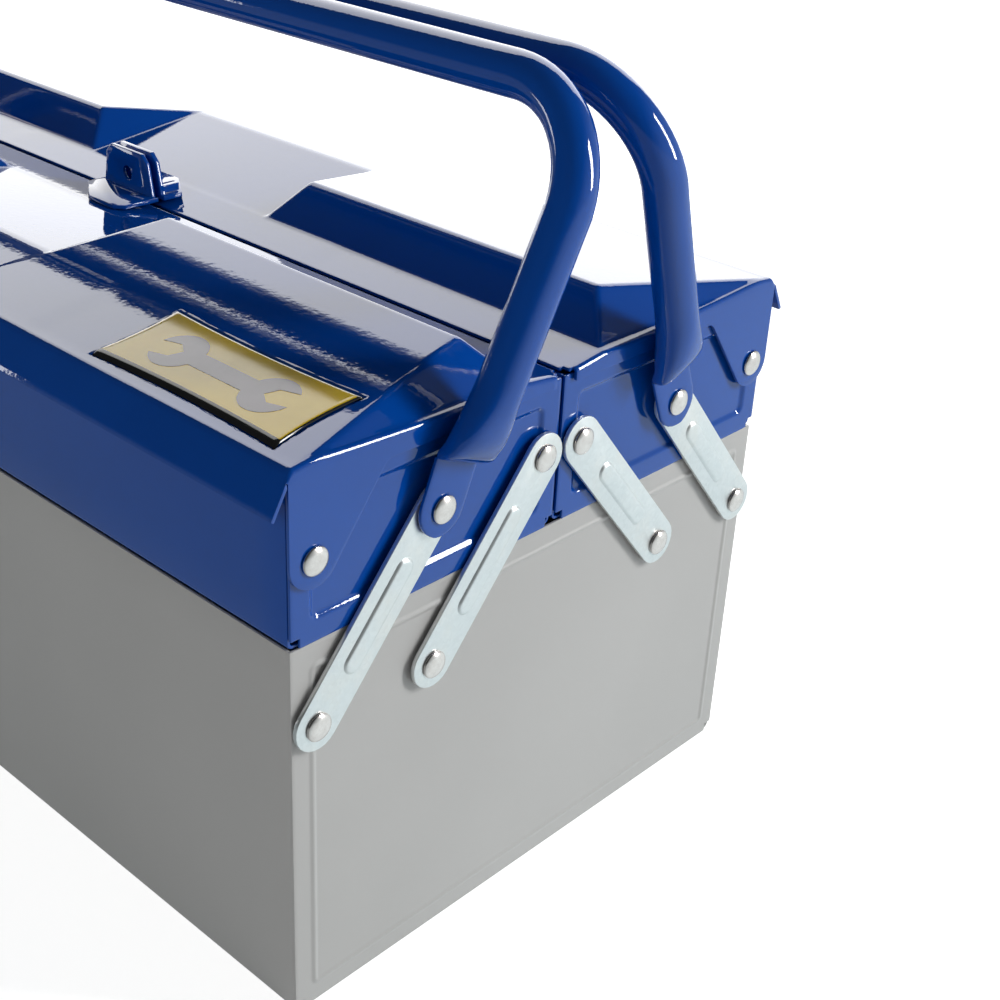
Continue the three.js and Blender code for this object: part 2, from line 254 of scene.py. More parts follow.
# ---- Materials ----


class Nodes:
    """A short way to write one material's node tree."""

    def __init__(self, name):
        self.material = bpy.data.materials.new(name)
        self.material.use_nodes = True
        self.tree = self.material.node_tree
        self.shader = self.tree.nodes["Principled BSDF"]
        self.place = self.add("ShaderNodeTexCoord").outputs["Object"]

    def add(self, kind, settings=None, **inputs):
        node = self.tree.nodes.new(kind)
        for key, value in (settings or {}).items():
            setattr(node, key, value)
        for key, value in inputs.items():
            self.put(node, key.replace("_", " "), value)
        return node

    def put(self, node, key, value):
        socket = node.inputs[int(key)] if key.isdigit() else node.inputs[key]
        if isinstance(value, bpy.types.NodeSocket):
            self.tree.links.new(value, socket)
        else:
            socket.default_value = value

    def noise(self, scale, detail=2.0, roughness=0.5, vector=None):
        return self.add("ShaderNodeTexNoise", Vector=vector or self.place, Scale=scale, Detail=detail,
                        Roughness=roughness).outputs["Fac"]

    def stretched(self, scale):
        return self.add("ShaderNodeMapping", Vector=self.place, Scale=scale).outputs["Vector"]

    def ramp(self, value, *stops):
        node = self.add("ShaderNodeValToRGB", Fac=value)
        elements = node.color_ramp.elements
        while len(elements) < len(stops):
            elements.new(0.5)
        for element, (position, color) in zip(elements, stops):
            element.position = position
            element.color = (*color, 1)
        return node.outputs["Color"]

    def span(self, value, low, high, from_low=0.0, from_high=1.0):
        node = self.add("ShaderNodeMapRange", Value=value)
        ends = {"From Min": from_low, "From Max": from_high, "To Min": low, "To Max": high}
        for key, number in ends.items():
            node.inputs[key].default_value = number
        return node.outputs["Result"]

    def math(self, operation, a, b=0.0):
        node = self.add("ShaderNodeMath", {"operation": operation})
        self.put(node, "0", a)
        self.put(node, "1", b)
        return node.outputs["Value"]

    def mix(self, factor, a, b, blend="MIX"):
        node = self.add("ShaderNodeMix", {"data_type": "RGBA", "blend_type": blend})
        self.put(node, "0", factor)
        self.put(node, "6", (*a, 1) if isinstance(a, tuple) else a)
        self.put(node, "7", (*b, 1) if isinstance(b, tuple) else b)
        return node.outputs[2]

    def bump(self, height, distance, strength=1.0, normal=None):
        node = self.add("ShaderNodeBump", Strength=strength, Distance=distance, Height=height)
        if normal is not None:
            self.put(node, "Normal", normal)
        return node.outputs["Normal"]

    def worn_edges(self):
        """1 on convex edges, broken up by noise, 0 elsewhere."""
        sharpness = 0.06
        pointiness = self.add("ShaderNodeNewGeometry").outputs["Pointiness"]
        edge = self.span(pointiness, 0.0, 1.0, 0.5 + sharpness / 2, 0.5 + sharpness * 1.5)
        broken = self.span(self.noise(160.0, 5.0, 0.7), 0.0, 1.0, 0.5, 0.68)
        return self.math("MULTIPLY", edge, broken)

    def set(self, **inputs):
        for key, value in inputs.items():
            self.put(self.shader, key.replace("_", " "), value)
        return self.material


def blue_enamel_material():
    n = Nodes("blue_enamel")
    cloud = n.noise(14.0, 3.0)
    colour = n.ramp(cloud, (0.3, (0.0006, 0.054, 0.310)), (0.7, (0.0010, 0.061, 0.345)))
    edge = n.worn_edges()
    colour = n.mix(n.math("MULTIPLY", edge, 0.35), colour, (0.03, 0.075, 0.30))
    peel = n.noise(480.0, 2.0, 0.5)
    wave = n.noise(130.0, 2.0)
    fine = n.bump(peel, 0.000016, 1.0)
    normal = n.bump(wave, 0.000008, 1.0, fine)
    gloss = n.span(n.noise(45.0, 4.0, 0.6), 0.02, 0.05)
    n.set(Base_Color=colour, Roughness=gloss, IOR=1.62, Normal=normal)
    return n.material


def grey_enamel_material():
    n = Nodes("grey_enamel")
    cloud = n.noise(9.0, 3.0)
    colour = n.ramp(cloud, (0.3, (0.410, 0.402, 0.392)), (0.7, (0.445, 0.437, 0.427)))
    colour = n.mix(n.math("MULTIPLY", n.worn_edges(), 0.5), colour, (0.60, 0.60, 0.58))
    peel = n.noise(900.0, 2.0, 0.6)
    normal = n.bump(peel, 0.000006, 1.0, n.bump(n.noise(110.0, 2.0), 0.00001))
    gloss = n.span(n.noise(30.0, 4.0, 0.6), 0.34, 0.46)
    n.set(Base_Color=colour, Roughness=gloss, IOR=1.5, Coat_Weight=0.35, Coat_Roughness=0.22, Normal=normal)
    return n.material


def zinc_material():
    n = Nodes("zinc_plate")
    spangle = n.add("ShaderNodeTexVoronoi", {"feature": "F1"}, Vector=n.place, Scale=900.0)
    tint = n.ramp(n.noise(60.0, 4.0, 0.6), (0.3, (0.785, 0.82, 0.825)), (0.5, (0.825, 0.85, 0.85)),
                  (0.72, (0.86, 0.85, 0.82)))
    grain = n.span(spangle.outputs["Color"], 0.96, 1.03)
    grain_grey = n.add("ShaderNodeCombineColor", Red=grain, Green=grain, Blue=grain).outputs[0]
    colour = n.mix(1.0, tint, grain_grey, "MULTIPLY")
    rough = n.span(n.noise(140.0, 5.0, 0.65), 0.28, 0.40)
    scratch = n.noise(260.0, 4.0, 0.6, n.stretched((1.0, 1.0, 0.12)))
    normal = n.bump(scratch, 0.000008, 0.6, n.bump(n.noise(1700.0, 2.0), 0.000006))
    n.set(Base_Color=colour, Metallic=0.85, Roughness=rough, Normal=normal)
    return n.material


def rivet_material():
    n = Nodes("rivet_steel")
    colour = n.ramp(n.noise(420.0, 5.0, 0.6), (0.3, (0.84, 0.75, 0.71)), (0.7, (0.97, 0.89, 0.85)))
    rough = n.span(n.noise(700.0, 4.0, 0.7), 0.14, 0.26)
    normal = n.bump(n.noise(700.0, 3.0, 0.6), 0.000015, 0.7)
    n.set(Base_Color=colour, Metallic=1.0, Roughness=rough, Normal=normal)
    return n.material


def badge_material(name, low, high):
    n = Nodes(name)
    colour = n.ramp(n.noise(90.0, 3.0), (0.3, low), (0.7, high))
    normal = n.bump(n.noise(220.0, 2.0), 0.000006)
    rough = n.span(n.noise(260.0, 3.0), 0.05, 0.09)
    n.set(Base_Color=colour, Roughness=rough, IOR=1.5, Normal=normal)
    return n.material


BLUE = blue_enamel_material()
GREY = grey_enamel_material()
ZINC = zinc_material()
RIVET = rivet_material()
YELLOW = badge_material("badge_yellow", (0.74, 0.49, 0.012), (0.82, 0.57, 0.02))
PICTOGRAM = badge_material("badge_grey", (0.23, 0.20, 0.22), (0.27, 0.24, 0.26))
# Near-black for the badge's sloping border: painted shade and painted dark reflection, not a printed colour.
BADGE_PAINTED_SHADE = badge_material("badge_painted_shade", (0.012, 0.012, 0.012), (0.02, 0.02, 0.02))


# ---- Camera ----

# The camera stands in front of the right end, above the lids, about 0.6 m away.
CAMERA_MM = Vector((458.95, -316.17, 351.6))
CAMERA_RIGHT = Vector((0.73028, 0.68149, 0.04753))
CAMERA_FORWARD = Vector((-0.58376, 0.65867, -0.47473))
CAMERA_LENS = 57.47


def add_camera():
    right = CAMERA_RIGHT.normalized()
    back = -CAMERA_FORWARD.normalized()
    up = back.cross(right).normalized()
    camera = bpy.data.objects.new("camera", bpy.data.cameras.new("camera"))
    bpy.context.scene.collection.objects.link(camera)
    turn = Matrix((right, up, back)).transposed().to_4x4()
    camera.matrix_world = Matrix.Translation(CAMERA_MM * MM) @ turn
    camera.data.lens = CAMERA_LENS
    camera.data.sensor_width = 36.0
    camera.data.clip_start = 0.01
    bpy.context.scene.camera = camera


add_camera()

# ---- Lids ----

SLOPE = (RIDGE[1] - EDGE[1]) / (EDGE[0] - RIDGE[0])


def crown(s):
    return EDGE[1] + SLOPE * (EDGE[0] - s)


def line(s, a, b):
    return a[1] + (s - a[0]) * (b[1] - a[1]) / (b[0] - a[0])


def plane(x, s, a, b, c):
    """Height over (x, s) of the plane through three points (x, s, z)."""
    a, b, c = (np.array(p, float) for p in (a, b, c))
    normal = np.cross(b - a, c - a)
    return a[2] - (normal[0] * (x - a[0]) + normal[1] * (s - a[1])) / normal[2]


def badge_recess(x, s):
    """Depth of the shallow pressed frame round the badge: its sides curve in between the corners."""
    half_u = BADGE["length"] / 2 + 3.2
    half_v = BADGE["width"] / 2 + 3.4
    depth = ramp_width = 0.8
    u = (x - BADGE["x"]) / half_u
    v = (s - BADGE["y"]) / half_v
    side_u = np.abs(u) + 0.03 * (1 - np.clip(v * v, 0, 1))
    side_v = np.abs(v) + 0.08 * (1 - np.clip(u * u, 0, 1))
    inside = np.minimum((1 - side_u) * half_u, (1 - side_v) * half_v)
    return depth * smooth_step(inside / ramp_width)


def lid_height(x, s, with_badge):
    """The lid's outer surface at x, and at s from the middle plane."""
    x_in = np.abs(x)
    baseline = np.where(s < FOOT[0], line(s, SEAM, FOOT), line(s, FOOT, EDGE))
    ramp = smooth_min(line(s, FOOT, (RAMP_TOP, crown(RAMP_TOP))), crown(s), 0.6)
    nowhere = -1e3
    ramp = np.where(x_in < RAMP_HALF + 40, ramp, nowhere)
    foot_corner = (RAMP_HALF, FOOT[0], FOOT[1])
    ridge_corner = (RAMP_HALF + RAMP_FACET_RUN, *RIDGE)
    far_corner = (RAMP_HALF, RAMP_TOP, crown(RAMP_TOP))
    ramp_facet = plane(x_in, s, foot_corner, ridge_corner, far_corner)
    end_foot = LID_HIGH.x - FOOT_INSET
    end_ridge = (end_foot - END_FACET_RUN, *RIDGE)
    end_facet = plane(x_in, s, (end_foot, *FOOT), end_ridge, (LID_HIGH.x, *EDGE))
    step = line(s, FOOT, RIDGE)
    hump = smooth_min(crown(s), step, 1.5)
    hump = smooth_min(hump, ramp_facet, 0.9)
    hump = smooth_min(hump, end_facet, 0.9)
    top = smooth_max(baseline, hump, 0.9)
    top = smooth_max(top, ramp, 0.35)
    skirt = EDGE[1] - (s - EDGE[0]) * (EDGE[1] - SKIRT[1]) / (SKIRT[0] - EDGE[0])
    top = np.where(s > EDGE[0] - 6, smooth_min(top, skirt, 1.9), top)
    if with_badge:
        top = top - badge_recess(x, s)
    return top


def flange_bottom(s):
    """Lower edge of the end flange: a narrow lip, then a slanted edge and an ear round the pivot."""
    ear_s, ear_z = -LID_PIVOT.y, LID_PIVOT.z
    start = 0.2 * math.pi
    tangent = (ear_s - EAR_RADIUS * math.cos(start), ear_z - EAR_RADIUS * math.sin(start))
    slanted = line(s, (EAR_INNER, LIP_BOTTOM), tangent)
    lip = np.maximum(LIP_BOTTOM, SEAM[1] - SHEET - 2.0 * (s - SEAM[0]))
    edge = smooth_min(lip, slanted, 2.0)
    arc = ear_z - np.sqrt(np.maximum(EAR_RADIUS**2 - (s - ear_s) ** 2, 0))
    return np.where(s > tangent[0], arc, edge)


def lid_piece(name, with_badge):
    ear_edge = -LID_PIVOT.y + EAR_RADIUS
    # The grid is finer where the surface bends: at the seam, step, ramp's top, ear, edge and badge.
    s_lines = spaced(
        (SEAM[0], SEAM[0] + CORNER_GAP, 0.75),
        (SEAM[0] + CORNER_GAP, 13, 1.5),
        (13, 33, 0.8),
        (33, 60, 2.2),
        (60, 70, 1.0),
        (70, 84, 1.5),
        (84, 88, 0.8),
        (88, 99, 1.2),
        (99, ear_edge - 0.4, 0.45),
        (ear_edge - 0.4, ear_edge, 0.2),
        (ear_edge, 104, 0.6),
        (104, SKIRT[0], 1.2),
    )
    if with_badge:
        s_lines = sorted(set(s_lines + spaced((62, 67, 0.35), (67, 95, 1.2), (95, 99.5, 0.35))))
    x_flat = LID_HIGH.x - LID_BEND
    half = spaced((0, 44, 4), (44, 66, 0.8), (66, 180, 4), (180, x_flat, 0.8))
    x_lines = [-x for x in half] + half
    if with_badge:
        x_lines += spaced((111, 117, 0.4), (117, 187, 2.0), (187, 192, 0.4))
    x_lines = sorted(set(x_lines))
    bend_angles = np.radians([22.5, 45, 67.5, 90])
    drops = np.linspace(0, 1, 15)[1:]

    s = np.array(s_lines)
    on_flange = s <= ear_edge + 1e-6
    rows = []
    for x in x_lines:
        z = lid_height(np.full_like(s, x), s, with_badge)
        rows.append(np.stack([np.full_like(s, x), -s, z], 1))
    edge_z = rows[-1][:, 2]
    flange_rows = []
    for angle in bend_angles:
        z = edge_z - np.where(on_flange, LID_BEND * (1 - math.cos(angle)), 0)
        x = x_flat + LID_BEND * math.sin(angle)
        flange_rows.append(np.stack([np.full_like(s, x), -s, z], 1))
    bottom = np.minimum(flange_bottom(s), edge_z - LID_BEND - 0.05)
    for t in drops:
        z = np.where(on_flange, (edge_z - LID_BEND) * (1 - t) + bottom * t, edge_z)
        flange_rows.append(np.stack([np.full_like(s, LID_HIGH.x), -s, z], 1))
    mirrored = [row * np.array([-1, 1, 1]) for row in reversed(flange_rows)]
    points = np.array(mirrored + rows + flange_rows)
    count = len(points)
    straight = len(drops)
    bend_rows = straight + len(bend_angles)
    rounding = bend_rows + 3

    def keep(i, j):
        from_end = min(i, count - 2 - i)
        if s[j] < SEAM[0] + CORNER_GAP - 1.5 and from_end < rounding:
            return False
        if s[j] < SEAM[0] + CORNER_GAP and from_end < bend_rows:
            return False
        return from_end >= straight or (on_flange[j] and on_flange[j + 1])

    obj = sheet_object(name, points, keep, flip=True)
    return thicken(obj, degrees=32)


front_lid = lid_piece("front_lid_shell", with_badge=True)
rear_lid_master = lid_piece("rear_lid_shell_master", with_badge=False)
rear_lid = copy_of(rear_lid_master, "rear_lid_shell", HALF_TURN)
bpy.data.objects.remove(rear_lid_master)
finish_piece(front_lid, "front_lid", "front_lid_body", BLUE)
finish_piece(rear_lid, "rear_lid", "rear_lid_body", BLUE)


# ---- Base and trays ----


def trough_piece(name, low, high, seed):
    """A U of bent sheet with rounded bends and walls that are not quite flat."""
    bend = 1.8
    path = []
    wall = spaced((low.z + bend, high.z, 12))
    path += [(low.y, z) for z in reversed(wall)]
    for angle in np.radians([22.5, 45, 67.5]):
        path.append((low.y + bend - bend * math.cos(angle), low.z + bend - bend * math.sin(angle)))
    path += [(y, low.z) for y in spaced((low.y + bend, high.y - bend, 12))]
    for angle in np.radians([67.5, 45, 22.5]):
        path.append((high.y - bend + bend * math.cos(angle), low.z + bend - bend * math.sin(angle)))
    path += [(high.y, z) for z in wall]
    x_lines = spaced((low.x, high.x, 12))
    rng = np.random.default_rng(seed)
    phases = rng.uniform(0, 2 * math.pi, 3)
    height = high.z - low.z
    points = []
    for x in x_lines:
        row = []
        for y, z in path:
            up = (z - low.z - bend) / (height - bend)
            along = max(math.cos(math.pi * x / (high.x - low.x)), 0)
            dish = 0.22 * math.sin(math.pi * min(max(up, 0), 1)) ** 2 * along
            dish *= 0.6 + 0.4 * math.sin(x * 0.021 + phases[0])
            inward = dish if y == low.y else -dish if y == high.y else 0
            row.append((x, y + inward, z))
        points.append(row)
    obj = sheet_object(name, points)
    face_outwards_of_trough(obj, low, high)
    return thicken(obj, edge=0.25)


def face_outwards_of_trough(obj, low, high):
    """Turns an open U's faces so that they look away from its inside."""
    inside = Vector(((low.x + high.x) / 2, (low.y + high.y) / 2, high.z)) * MM
    mesh = obj.data
    face = mesh.polygons[len(mesh.polygons) // 2]
    if (face.center - inside).dot(face.normal) < 0:
        mesh.flip_normals()


def end_wall(name, low, high, margin, pressing):
    """The end wall at the right, pressed by a function of the distance inside a rounded frame line."""
    radius = 3.0
    notch = CORNER_NOTCH
    near, far = margin - 0.6, margin + 3.4

    def lines(start, end):
        stations = spaced(
            (start, start + near, 1.2),
            (start + near, start + far, 0.33),
            (start + far, end - far, 6),
            (end - far, end - near, 0.33),
            (end - near, end, 1.2),
        )
        return np.array(sorted(set(stations + [round(start + notch, 4), round(end - notch, 4)])))

    ys, zs = lines(low.y, high.y), lines(low.z, high.z)
    y_grid, z_grid = np.meshgrid(ys, zs)
    centre_y, centre_z = (low.y + high.y) / 2, (low.z + high.z) / 2
    half_y, half_z = (high.y - low.y) / 2 - margin - radius, (high.z - low.z) / 2 - margin - radius
    away_y, away_z = np.abs(y_grid - centre_y) - half_y, np.abs(z_grid - centre_z) - half_z
    corner = np.hypot(np.maximum(away_y, 0), np.maximum(away_z, 0))
    outside = corner + np.minimum(np.maximum(away_y, away_z), 0)
    points = np.stack([high.x - pressing(radius - outside), y_grid, z_grid], 2)

    def keep(i, j):
        in_low = zs[i + 1] <= low.z + notch + 1e-3
        in_side = ys[j + 1] <= low.y + notch + 1e-3 or ys[j] >= high.y - notch - 1e-3
        return not (in_low and in_side)

    obj = sheet_object(name, points, keep)
    if obj.data.polygons[0].normal.x < 0:
        obj.data.flip_normals()
    return thicken(obj, edge=0.3, degrees=30)


def bead(inside):
    """A low raised bead between a frame and a field that are both a little sunk."""
    depth, width = 0.45, 2.8
    return depth * (1 - np.sin(math.pi * np.clip(inside / width, 0, 1)) ** 2)


def step(inside):
    """A sunk field inside a flat frame, joined by an evenly sloped band."""
    depth, band, rounding = 1.0, 1.4, 0.3
    return smooth_max(smooth_min(inside * depth / band, depth, rounding), 0.0, rounding)


base_trough = trough_piece("base_shell", *box_mm("base_trough"), seed=1)
finish_piece(base_trough, "base_trough", "base", GREY)
base_end = end_wall("base_end_panel_right", BASE_LOW, BASE_HIGH, 5.8, bead)
base_end_left = copy_of(base_end, "base_end_panel_left", MIRROR_X)
finish_piece(base_end, "base_end_right", "base", GREY)
finish_piece(base_end_left, "base_end_left", "base", GREY)

tray_trough = trough_piece("front_tray_shell", *box_mm("front_tray_trough"), seed=2)
rear_trough = copy_of(tray_trough, "rear_tray_shell", HALF_TURN)
finish_piece(tray_trough, "front_tray_trough", "front_tray", BLUE)
finish_piece(rear_trough, "rear_tray_trough", "rear_tray", BLUE)
tray_end = end_wall("front_tray_end_panel_right", TRAY_LOW, TRAY_HIGH, 6.4, step)
for side, end, matrix in OTHER_CORNERS:
    panel = copy_of(tray_end, f"{side}_tray_end_panel_{end}", matrix)
    finish_piece(panel, f"{side}_tray_end_{end}", f"{side}_tray", BLUE)
finish_piece(tray_end, "front_tray_end_right", "front_tray", BLUE)


# ---- Links ----


def stadium_ring(radius, half_length, x, middle, arc_steps=12):
    """Points round a slot shape in the link's own plane: two half circles about its centre line."""
    ring = []
    for i in range(arc_steps + 1):
        angle = math.pi + math.pi * i / arc_steps
        ring.append((x, radius * math.cos(angle), middle - half_length + radius * math.sin(angle)))
    for i in range(arc_steps + 1):
        angle = math.pi * i / arc_steps
        ring.append((x, radius * math.cos(angle), middle + half_length + radius * math.sin(angle)))
    return ring


def link_master():
    """A flat bar with round ends and an embossed rib, upright, with its lower pivot at the origin."""
    thickness = 1.5
    rise = MIDDLE_TRAY.z - OUTER_BASE.z
    length = math.hypot(rise, MIDDLE_TRAY.y - OUTER_BASE.y)
    middle = length / 2
    radius, rib_half = 7.5, 14.0
    hole = 2.3 * MM
    # Radius and height of the rib's hollow back, the bar's rounded rim and the rib's raised front.
    back = [(0.2, 0.62), (0.9, 0.6), (1.7, 0.5), (2.3, 0.15), (2.5, 0.0)]
    rim = [(radius - 0.35, 0.0), (radius - 0.1, 0.08), (radius, 0.3), (radius, thickness - 0.3),
           (radius - 0.1, thickness - 0.08), (radius - 0.35, thickness)]
    front = [(3.4, 0.0), (3.25, 0.03), (3.05, 0.2), (2.75, 0.5), (2.45, 0.68), (2.0, 0.78),
             (1.2, 0.82), (0.3, 0.84)]
    rings = [stadium_ring(r, rib_half, x, middle) for r, x in back]
    rings += [stadium_ring(r, middle, x, middle) for r, x in rim]
    rings += [stadium_ring(r, rib_half, thickness + x, middle) for r, x in front]
    link = loft_object("link_master", rings, degrees=28)
    for z in (0.0, length):
        drill = bpy.data.meshes.new("drill")
        shape = bmesh.new()
        at_pivot = Matrix.Translation((0, 0, z * MM)) @ Matrix.Rotation(math.pi / 2, 4, "Y")
        bmesh.ops.create_cone(shape, cap_ends=True, segments=28, radius1=hole, radius2=hole,
                              depth=8 * MM, matrix=at_pivot)
        shape.to_mesh(drill)
        shape.free()
        tool = bpy.data.objects.new("drill", drill)
        bpy.context.scene.collection.objects.link(tool)
        add_modifier(link, "BOOLEAN", object=tool, operation="DIFFERENCE", solver="EXACT")
        bake_modifiers(link, 28)
        bpy.data.objects.remove(tool)
    return link


def add_links():
    master = link_master()
    link_x = box_mm("front_outer_link_right")[0].x
    lean = math.atan2(MIDDLE_TRAY.y - OUTER_BASE.y, MIDDLE_TRAY.z - OUTER_BASE.z)
    for place, pivot in (("outer", OUTER_BASE), ("inner", INNER_BASE)):
        at_right = (Matrix.Translation(Vector((link_x, pivot.y, pivot.z)) * MM)
                    @ Matrix.Rotation(-lean, 4, "X"))
        for side, end, turn in (("front", "right", Matrix.Identity(4)), *OTHER_CORNERS):
            link = copy_of(master, f"{side}_{place}_bar_{end}", turn @ at_right)
            finish_piece(link, f"{side}_{place}_link_{end}", f"{side}_{place}_links", ZINC)
    bpy.data.objects.remove(master)


add_links()


# ---- Rivets ----

# From the underside of a rivet's head to the end of its box.
CAD_HEAD_HEIGHT = 2.2


def rivet_piece(name, node, body):
    """A turned rivet along X: low domed head outside, formed tail inside."""
    low, high = box_mm(node)
    centre_y, centre_z = (low.y + high.y) / 2, (low.z + high.z) / 2
    outwards = 1 if high.x > 0 else -1
    tail_end = low.x if outwards > 0 else -high.x
    head_top = high.x if outwards > 0 else -low.x
    head, head_height, shank, tail, tail_height = 4.2, 1.6, 2.0, 3.6, 1.3
    head_x = head_top - CAD_HEAD_HEIGHT
    tail_top = tail_end + tail_height
    profile = [(0.05, tail_end), (0.75 * tail, tail_end), (0.95 * tail, tail_end + 0.15 * tail_height),
               (tail, tail_end + 0.5 * tail_height), (tail, tail_top), (shank, tail_top),
               (shank, head_x), (0.97 * head, head_x), (head, head_x + 0.1), (head, head_x + 0.22)]
    rim = 0.35
    for t in (0.04, 0.09, 0.16, 0.25, 0.36, 0.5, 0.65, 0.8, 0.92, 0.995):
        dome = (math.sqrt(1 - 0.8 * (1 - t) ** 2) - math.sqrt(0.2)) / (1 - math.sqrt(0.2))
        profile.append((head * (1 - t), head_x + rim + (head_height - rim) * dome))
    rings = []
    for radius, x in profile:
        rings.append([(outwards * x, centre_y + radius * math.cos(a), centre_z + radius * math.sin(a))
                      for a in np.linspace(0, 2 * math.pi, 41)[:-1]])
    rivet = loft_object(name, rings, degrees=38)
    finish_piece(rivet, node, body, RIVET)


for body, nodes in frame["record"]["behaviour"]["bodies"].items():
    for node in nodes:
        if "rivet" in node:
            rivet_piece(f"{node}_turned", node, body)


# ---- Handles ----

# Tube radius, pivot to grip, lean in degrees, bend radius, and the tube's distances from the end walls.
HANDLE = {"tube": 6.448, "reach": 112.0, "lean": 21.9, "bend": 28.5, "foot_offset": 9.4, "top_offset": 13.6}
PLATE_HALF = 8.25
PLATE_THICKNESS = 1.6
PLATE_TOP = 13.5
FLARE = 0.9
FLARE_TOP = 15.5
SWELL = 4.4


def handle_section(s, plate_x):
    """Half width, half thickness, centre along X and squareness of the leg at s from its pivot."""
    tube = HANDLE["tube"]
    straight = HANDLE["reach"] - HANDLE["bend"]
    if s < 0:
        half_width = math.sqrt(max(PLATE_HALF**2 - s * s, 0.05))
    elif s < PLATE_TOP:
        half_width = PLATE_HALF
    elif s < FLARE_TOP:
        half_width = PLATE_HALF + FLARE * float(smooth_step((s - PLATE_TOP) / (FLARE_TOP - PLATE_TOP)))
    else:
        left = 1 - float(smooth_step((s - FLARE_TOP) / 22))
        half_width = tube + (PLATE_HALF + FLARE - tube) * left
    swell = min(max((s - PLATE_TOP) / 10.0, 0), 1)
    grow = math.sqrt(1 - (1 - swell) ** 2)
    fill = float(smooth_step((s - 15) / 20))
    half_thickness = PLATE_THICKNESS / 2 + grow * SWELL + fill * (tube - PLATE_THICKNESS / 2 - SWELL)
    roundness = float(smooth_step((s - PLATE_TOP) / 5)) * 0.8 + float(smooth_step((s - 16) / 20)) * 0.2
    power = 5.0 + (2.0 - 5.0) * roundness
    spread = max(s - 32, 0) / (straight - 32)
    full = FACE + HANDLE["foot_offset"] + (HANDLE["top_offset"] - HANDLE["foot_offset"]) * spread
    lift = float(smooth_step((s - 14) / 18))
    inner = plate_x + (full - tube - plate_x) * lift
    return half_width, half_thickness, inner + half_thickness, power


def super_ring(half_width, half_thickness, power, count=28):
    """Points (across, along the thickness) of a rounded section; power 2 is an ellipse."""
    ring = []
    for i in range(count):
        angle = 2 * math.pi * i / count
        c, d = math.cos(angle), math.sin(angle)
        ring.append((half_width * math.copysign(abs(c) ** (2 / power), c),
                     half_thickness * math.copysign(abs(d) ** (2 / power), d)))
    return ring


def handle_piece(name):
    """One closed loft: flattened foot, leg, bend, grip and the other side, in the handle's own plane."""
    clearance = 0.3
    plate_x = box_mm("front_handle_rivet_right")[1].x - CAD_HEAD_HEIGHT - clearance - PLATE_THICKNESS
    tube = HANDLE["tube"]
    straight = HANDLE["reach"] - HANDLE["bend"]
    stations = [-PLATE_HALF * math.cos(a) for a in np.radians([4, 16, 30, 45, 60, 75])]
    stations += spaced(
        (0, 13.2, 4),
        (13.2, PLATE_TOP, 0.15),
        (PLATE_TOP, 14.1, 0.15),
        (14.1, 17.1, 0.5),
        (17.1, 22, 1.2),
        (22, 40, 2.0),
        (40, straight, 6),
    )
    leg = []
    for s in stations:
        half_width, half_thickness, centre, power = handle_section(s, plate_x)
        leg.append([(centre + v, u, s) for u, v in super_ring(half_width, half_thickness, power)])
    top_x = FACE + HANDLE["top_offset"]
    for angle in np.radians(spaced((6, 90, 6))):
        radius = HANDLE["bend"]
        along = math.sin(angle)
        centre_x = top_x - radius * (1 - math.cos(angle))
        centre_s = straight + radius * along
        squeeze = 1 - 0.05 * math.sin(2 * angle)
        ring = []
        for u, v in super_ring(tube, tube * squeeze, 2.0):
            ring.append((centre_x + v * math.cos(angle), u, centre_s + v * math.sin(angle)))
        leg.append(ring)
    half = [np.array(r) for r in leg]
    grip = [x for x in spaced((0, top_x - HANDLE["bend"] - 12, 14)) if x > 0]
    grip_rings = []
    for x in [*reversed(grip), 0.0, *[-g for g in grip]]:
        ring = [(x, u, HANDLE["reach"] + v) for u, v in super_ring(tube, tube, 2.0)]
        grip_rings.append(np.array(ring))
    other = [r * np.array([-1, 1, 1]) for r in reversed(half)]
    obj = loft_object(name, half + grip_rings + other, degrees=50)
    lean = Matrix.Rotation(-math.radians(HANDLE["lean"]), 4, "X")
    obj.data.transform(Matrix.Translation(MIDDLE_TRAY * MM) @ lean)
    return obj


front_handle = handle_piece("front_handle_tube")
rear_handle = copy_of(front_handle, "rear_handle_tube", HALF_TURN)
finish_piece(front_handle, "front_handle", "front_handle_body", BLUE)
finish_piece(rear_handle, "rear_handle", "rear_handle_body", BLUE)


# ---- Hasps ----


def hasp_piece(side):
    """The CAD hasp's outline with its flat faces merged and all its edges rounded."""
    node = frame["nodes"][f"{side}_hasp"]
    obj = bpy.data.objects.new(f"{side}_hasp_plate", node.data.copy())
    bpy.context.scene.collection.objects.link(obj)
    add_modifier(obj, "WELD", merge_threshold=0.00001)
    add_modifier(obj, "DECIMATE", decimate_type="DISSOLVE", angle_limit=math.radians(2))
    add_modifier(obj, "BEVEL", width=0.28 * MM, segments=2, limit_method="ANGLE",
                 angle_limit=math.radians(35))
    bake_modifiers(obj, 35)
    finish_piece(obj, f"{side}_hasp", f"{side}_lid_body", BLUE)


hasp_piece("front")
hasp_piece("rear")


# ---- Badge ----


def pincushion(p, q, half_x, half_y):
    """A point of a plate whose sides curve in between its corners, for p and q from -1 to 1."""
    x = p * (half_x - PINCH[0] * (1 - q * q))
    y = q * (half_y - PINCH[1] * (1 - p * p))
    return x, y


def badge_place():
    """From the badge's own flat frame to its place on the lid."""
    centre = Vector((BADGE["x"], -BADGE["y"], crown(BADGE["y"])))
    return Matrix.Translation(centre * MM) @ Matrix.Rotation(math.atan(SLOPE), 4, "X")


